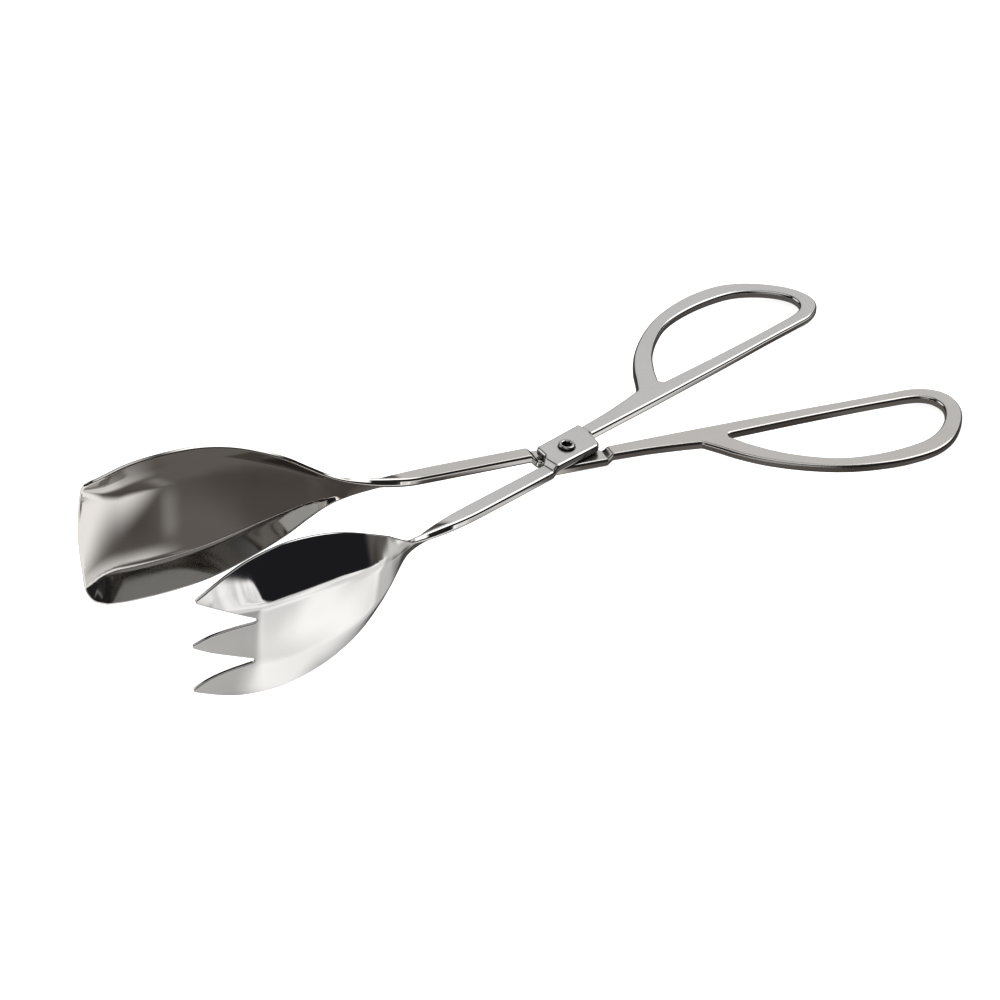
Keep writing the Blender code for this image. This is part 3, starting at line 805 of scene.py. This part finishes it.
def arm_piece(name, blade, pivot):
    """One finely meshed arm."""
    loops = [arm_outline(blade), loop_hole(), rivet_hole()]
    vertices, normals, edges, faces = build_sheet(blade, loops, form_points(blade))
    points = tilted(swing(numpy.array(vertices), blade["layer"]))
    leaned = tilted(swing(numpy.array(normals), blade["layer"]))
    if blade["layer"] < 0.0:
        faces = [tuple(reversed(face)) for face in faces]
    piece = add_mesh(name, points, faces, pivot, leaned)
    worn = piece.data.attributes.new("edge", "FLOAT", "POINT")
    worn.data.foreach_set("value", edges)
    return piece


# ---------------------------------------------------------------- shader nodes


def node(tree, kind, **values):
    """Add a shader node and set named inputs or properties."""
    made = tree.nodes.new(kind)
    for key, value in values.items():
        label = key.replace("_", " ")
        if label in made.inputs:
            made.inputs[label].default_value = value
        else:
            setattr(made, key, value)
    return made


def feed(tree, value, target):
    """Link a socket to an input, or set the input to a number or colour."""
    if hasattr(value, "node"):
        tree.links.new(value, target)
    else:
        target.default_value = value


def mixed(tree, kind, first, second):
    """A two-input math node of sockets or numbers."""
    made = node(tree, "ShaderNodeMath", operation=kind)
    feed(tree, first, made.inputs[0])
    feed(tree, second, made.inputs[1])
    return made.outputs[0]


def product(tree, *factors):
    """Product of sockets or numbers."""
    total = factors[0]
    for factor in factors[1:]:
        total = mixed(tree, "MULTIPLY", total, factor)
    return total


def spread(tree, value, span, levels=RISE):
    """Map a socket from one range to another with a smooth ramp."""
    made = node(tree, "ShaderNodeMapRange", interpolation_type="SMOOTHSTEP",
                From_Min=span[0], From_Max=span[1], To_Min=levels[0], To_Max=levels[1])
    tree.links.new(value, made.inputs["Value"])
    return made.outputs["Result"]


def between(tree, kind, share, first, second):
    """Number (FLOAT) or colour (RGBA) between two sockets or values."""
    made = node(tree, "ShaderNodeMix", data_type=kind)
    feed(tree, share, made.inputs["Factor"])
    feed(tree, first, made.inputs["A"])
    feed(tree, second, made.inputs["B"])
    return made.outputs["Result"]


def noise(tree, place, pattern):
    """Noise from a (scale, stretch along the three axes, detail) pattern."""
    scale, stretch, detail = pattern
    mapping = node(tree, "ShaderNodeMapping", Scale=stretch)
    tree.links.new(place, mapping.inputs["Vector"])
    made = node(tree, "ShaderNodeTexNoise", Scale=scale, Detail=detail)
    tree.links.new(mapping.outputs["Vector"], made.inputs["Vector"])
    return made.outputs["Fac"]


def ray_kind(tree, label):
    """Socket that tells one thing about the ray."""
    return node(tree, "ShaderNodeLightPath").outputs[label]


def places(tree):
    """Sockets of the place on the object, and of its X and its Y."""
    place = node(tree, "ShaderNodeTexCoord").outputs["Object"]
    split = node(tree, "ShaderNodeSeparateXYZ")
    tree.links.new(place, split.inputs["Vector"])
    return place, split.outputs["X"], split.outputs["Y"]


def arrange(tree):
    """Lay a tree's nodes out in rows, in the order they were made."""
    for number, made in enumerate(tree.nodes):
        made.location = (NODE_GAP[0] * (number % NODE_COLUMNS), -NODE_GAP[1] * (number // NODE_COLUMNS))


# ---------------------------------------------------------------- steel


def steel(name, tone, polish, satin):
    """Stainless steel: mirror polish on the blade and round edges, fine satin on the handle."""
    material = bpy.data.materials.new(name)
    material.use_nodes = True
    tree = material.node_tree
    shader = tree.nodes["Principled BSDF"]
    shader.inputs["Metallic"].default_value = 1.0
    place, along, _ = places(tree)
    grain = noise(tree, place, STEEL_GRAIN)
    cloud = noise(tree, place, STEEL_CLOUD)
    specks = noise(tree, place, STEEL_SPECKS)
    edge = node(tree, "ShaderNodeAttribute", attribute_name="edge").outputs["Fac"]
    satin_share = product(tree, spread(tree, along, SATIN_START), spread(tree, edge, BUFFED_EDGE, FALL))
    rough = spread(tree, satin_share, RISE, (polish, satin))
    rough = mixed(tree, "ADD", rough, spread(tree, cloud, CLOUD_SPAN, CLOUD_ROUGHNESS))
    rubbed = spread(tree, grain, GRAIN_SPAN, GRAIN_ROUGHNESS)
    rough = mixed(tree, "ADD", rough, product(tree, rubbed, satin_share))
    tree.links.new(rough, shader.inputs["Roughness"])
    dull = tuple(channel * DULL_SHARE for channel in tone) + (1.0,)
    tint = between(tree, "RGBA", spread(tree, cloud, TINT_SPAN), dull, tone + (1.0,))
    tree.links.new(tint, shader.inputs["Base Color"])
    height = mixed(tree, "ADD", product(tree, grain, satin_share), product(tree, specks, SPECK_HEIGHT))
    bump = node(tree, "ShaderNodeBump", Strength=BUMP_STRENGTH, Distance=BUMP_DISTANCE)
    tree.links.new(height, bump.inputs["Height"])
    tree.links.new(bump.outputs["Normal"], shader.inputs["Normal"])
    arrange(tree)
    return material


# ---------------------------------------------------------------- table


def near_side(tree, along, across):
    """1 on the near side of the fork arm, 0 beyond it."""
    line = product(tree, along, ARM_SLOPE)
    for span, levels in ARM_BENDS:
        line = mixed(tree, "ADD", line, spread(tree, along, span, levels))
    return spread(tree, mixed(tree, "SUBTRACT", across, line), ARM_EDGE, FALL)


def lit_pool(tree, place, along, across, near):
    """Painted pool of light on the table on the near side of the fork arm."""
    front = mixed(tree, "MAXIMUM", spread(tree, across, POOL_FRONT), spread(tree, along, POOL_LEFT, FALL))
    tines = spread(tree, along, TINE_SPAN, TINE_LEVELS)
    level = mixed(tree, "MAXIMUM", tines, spread(tree, across, TIP_SPAN, TIP_LEVELS))
    soft = spread(tree, noise(tree, place, POOL_NOISE), POOL_NOISE_SPAN, POOL_NOISE_LEVELS)
    # Painted shade: the pool dims in a band along the fork's lower contour.
    contour = product(tree, spread(tree, across, CONTOUR_ACROSS, CONTOUR_LEVELS),
                      spread(tree, along, CONTOUR_ALONG))
    bright = mixed(tree, "SUBTRACT", 1.0, contour)
    return product(tree, front, spread(tree, along, POOL_RIGHT, FALL), near, level, soft, bright)


def open_ends(tree, along, across):
    """Painted light on the table past the tips of both blades."""
    slanted = mixed(tree, "ADD", along, product(tree, across, END_SLANT))
    lower = product(tree, spread(tree, slanted, END_SPAN, END_LEVELS), spread(tree, across, END_ACROSS))
    upper = product(tree, spread(tree, across, UPPER_ACROSS, UPPER_LEVELS),
                    spread(tree, along, UPPER_ALONG, FALL))
    return mixed(tree, "MAXIMUM", lower, upper)


def handle_wedge(tree, along, across, near):
    """Painted wedge of light on the table between the handles."""
    return product(tree, spread(tree, along, WEDGE_ALONG), spread(tree, across, WEDGE_ACROSS), near)


def thin_streak(tree, along, across):
    """Faint slanted streak of painted light across the spoon."""
    slanted = mixed(tree, "ADD", along, product(tree, across, STREAK_SLANT))
    return product(tree, spread(tree, slanted, STREAK_RISE, STREAK_LEVELS),
                   spread(tree, slanted, STREAK_FALL, FALL),
                   spread(tree, across, STREAK_NEAR), spread(tree, across, STREAK_FAR, FALL))


def table_shade(tree, place, across):
    """Painted warm, slightly patchy shade close to the tongs that turns near black in front of them."""
    patchy = spread(tree, noise(tree, place, SHADE_NOISE), SHADE_SPAN)
    warm = between(tree, "RGBA", patchy, TABLE_SHADE, PAINTED_SHADE_PALE)
    return between(tree, "RGBA", spread(tree, across, SHADE_FRONT), PAINTED_SHADE_DARK, warm)


def painted_table_light(tree):
    """Painted light and shade that polished steel sees on the table: lit pools, shade elsewhere, weaker
    each bounce.
    """
    place, along, across = places(tree)
    near = near_side(tree, along, across)
    pool = lit_pool(tree, place, along, across, near)
    pool = mixed(tree, "MAXIMUM", pool, open_ends(tree, along, across))
    pool = mixed(tree, "MAXIMUM", pool, handle_wedge(tree, along, across, near))
    pool = mixed(tree, "ADD", pool, thin_streak(tree, along, across))
    lit = node(tree, "ShaderNodeVectorMath", operation="ADD")
    tree.links.new(table_shade(tree, place, across), lit.inputs[0])
    tree.links.new(pool, lit.inputs[1])
    dim = node(tree, "ShaderNodeVectorMath", operation="SCALE")
    tree.links.new(lit.outputs["Vector"], dim.inputs[0])
    bounces = spread(tree, ray_kind(tree, "Ray Depth"), BOUNCE_SPAN, BOUNCE_LEVELS)
    tree.links.new(bounces, dim.inputs["Scale"])
    return dim.outputs["Vector"]


def pale_material():
    """Matt white table top, bright enough to lose its shadows in the picture; steel sees painted light on
    it.
    """
    material = bpy.data.materials.new("table_white")
    material.use_nodes = True
    tree = material.node_tree
    shader = tree.nodes["Principled BSDF"]
    shader.inputs["Base Color"].default_value = TABLE_WHITE
    shader.inputs["Roughness"].default_value = TABLE_ROUGHNESS
    shader.inputs["Specular IOR Level"].default_value = 0.0
    shader.inputs["Emission Color"].default_value = (TABLE_GLOW, TABLE_GLOW, TABLE_GLOW, 1.0)
    tree.links.new(ray_kind(tree, "Is Camera Ray"), shader.inputs["Emission Strength"])
    # Painted light and shade on the table, which only glossy rays see
    painted_reflection = node(tree, "ShaderNodeEmission")
    tree.links.new(painted_table_light(tree), painted_reflection.inputs["Color"])
    both = node(tree, "ShaderNodeMixShader")
    tree.links.new(ray_kind(tree, "Is Glossy Ray"), both.inputs["Fac"])
    tree.links.new(shader.outputs["BSDF"], both.inputs[1])
    tree.links.new(painted_reflection.outputs["Emission"], both.inputs[2])
    tree.links.new(both.outputs["Shader"], tree.nodes["Material Output"].inputs["Surface"])
    arrange(tree)
    return material


def add_floor():
    """Wide plain table just under the tongs."""
    half = TABLE_HALF
    mesh = bpy.data.meshes.new("table")
    corners = [(-half, -half, 0.0), (half, -half, 0.0), (half, half, 0.0), (-half, half, 0.0)]
    mesh.from_pydata(corners, [], [(0, 1, 2, 3)])
    mesh.materials.append(pale_material())
    floor = bpy.data.objects.new("table", mesh)
    floor.location = (0.0, 0.0, -TABLE_DROP)
    bpy.context.scene.collection.objects.link(floor)


# ---------------------------------------------------------------- light and camera


def toward(azimuth, elevation):
    """Direction at an azimuth (0 is -Y, 90 is +X) and an elevation, in degrees."""
    turn = math.radians(azimuth)
    rise = math.radians(elevation)
    return (math.sin(turn) * math.cos(rise), -math.cos(turn) * math.cos(rise), math.sin(rise))


def add_key_light():
    """Soft square light above and behind, aimed at the tongs and not mirrored in them."""
    data = bpy.data.lights.new("key_softbox", "AREA")
    data.shape = "SQUARE"
    data.size = KEY_SIZE
    data.energy = KEY_POWER
    light = bpy.data.objects.new("key_softbox", data)
    direction = Vector(toward(KEY_AZIMUTH, KEY_ELEVATION))
    light.location = direction * KEY_DISTANCE
    light.rotation_euler = (-direction).to_track_quat("-Z", "Y").to_euler()
    light.visible_glossy = False
    bpy.context.scene.collection.objects.link(light)


def studio_walls(tree, direction, patches):
    """Sum of the studio's light patches over its dark base."""
    total = STUDIO_BASE
    for azimuth, elevation, inner, outer, strength in patches:
        dot = node(tree, "ShaderNodeVectorMath", operation="DOT_PRODUCT")
        tree.links.new(direction, dot.inputs[0])
        dot.inputs[1].default_value = toward(azimuth, elevation)
        span = (math.cos(math.radians(outer)), math.cos(math.radians(inner)))
        total = mixed(tree, "ADD", total, spread(tree, dot.outputs["Value"], span, (0.0, strength)))
    return total


def build_world():
    """Dark studio with soft light patches in the steel, white backdrop to the camera."""
    world = bpy.data.worlds.new("studio")
    bpy.context.scene.world = world
    world.use_nodes = True
    tree = world.node_tree
    direction = node(tree, "ShaderNodeTexCoord").outputs["Generated"]
    seen = studio_walls(tree, direction, STUDIO)
    deep = studio_walls(tree, direction, STUDIO_DEEP)
    bounced = mixed(tree, "GREATER_THAN", ray_kind(tree, "Ray Depth"), FIRST_BOUNCES)
    level = between(tree, "FLOAT", bounced, seen, deep)
    level = between(tree, "FLOAT", ray_kind(tree, "Is Diffuse Ray"), level, DOME)
    level = between(tree, "FLOAT", ray_kind(tree, "Is Camera Ray"), level, BACKDROP)
    background = tree.nodes["Background"]
    tree.links.new(level, background.inputs["Color"])
    background.inputs["Strength"].default_value = 1.0
    arrange(tree)


def add_camera(pivot):
    """Camera at the viewing angle, described in the rivet's directions."""
    flat = math.cos(VIEW_ELEVATION)
    forward = Vector((math.sin(VIEW_AZIMUTH) * flat, math.cos(VIEW_AZIMUTH) * flat,
                      -math.sin(VIEW_ELEVATION)))
    level = Vector((math.cos(VIEW_AZIMUTH), -math.sin(VIEW_AZIMUTH), 0.0))
    upright = level.cross(forward)
    right = level * math.cos(VIEW_ROLL) + upright * math.sin(VIEW_ROLL)
    up = upright * math.cos(VIEW_ROLL) - level * math.sin(VIEW_ROLL)
    lean = Matrix.Rotation(REST_TILT, 4, "Y")
    axes = Matrix((right, up, -forward)).transposed().to_4x4()
    place = Matrix.Translation(Vector(pivot)) @ lean @ Matrix.Translation(-forward * VIEW_DISTANCE)
    data = bpy.data.cameras.new("camera")
    data.sensor_width = SENSOR
    data.lens = SENSOR * VIEW_FOCAL
    data.shift_x, data.shift_y = VIEW_SHIFT
    data.clip_start = VIEW_CLIP
    camera = bpy.data.objects.new("camera", data)
    camera.matrix_world = place @ axes
    bpy.context.scene.collection.objects.link(camera)
    bpy.context.scene.camera = camera


# ---------------------------------------------------------------- assembly


def build_pieces(pivot):
    """Replace the three CAD nodes with finely meshed, finished pieces."""
    spoon = arm_piece("spoon_arm_steel", SPOON, pivot)
    fork = arm_piece("fork_arm_steel", FORK, pivot)
    vertices, faces = turned(rivet_profile())
    rivet = add_mesh("pivot_rivet_steel", tilted(vertices), faces, pivot)
    spoon.data.materials.append(steel("spoon_steel", *SPOON_FINISH))
    fork.data.materials.append(steel("fork_steel", *FORK_FINISH))
    rivet.data.materials.append(steel("rivet_steel", *RIVET_FINISH))
    for piece, body, cad_node, slot in (
            (spoon, "spoon_side", "spoon_arm", "spoon_steel"),
            (fork, "fork_side", "fork_arm", "fork_steel"),
            (rivet, "spoon_side", "pivot_rivet", "rivet_steel")):
        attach(piece, body)
        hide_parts(cad_node)


with open("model.json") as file:
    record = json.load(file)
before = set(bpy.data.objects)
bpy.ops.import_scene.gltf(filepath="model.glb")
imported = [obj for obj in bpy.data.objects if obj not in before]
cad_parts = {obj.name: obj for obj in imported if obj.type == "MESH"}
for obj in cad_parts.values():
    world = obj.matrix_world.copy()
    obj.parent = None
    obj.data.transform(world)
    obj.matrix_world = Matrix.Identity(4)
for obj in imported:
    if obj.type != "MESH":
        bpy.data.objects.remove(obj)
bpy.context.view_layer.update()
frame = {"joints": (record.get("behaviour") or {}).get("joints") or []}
bpy.context.scene.view_settings.view_transform = "Standard"
rivet_centre = frame["joints"][0]["pos_m"]
build_pieces(rivet_centre)
add_floor()
build_world()
add_key_light()
add_camera(rivet_centre)
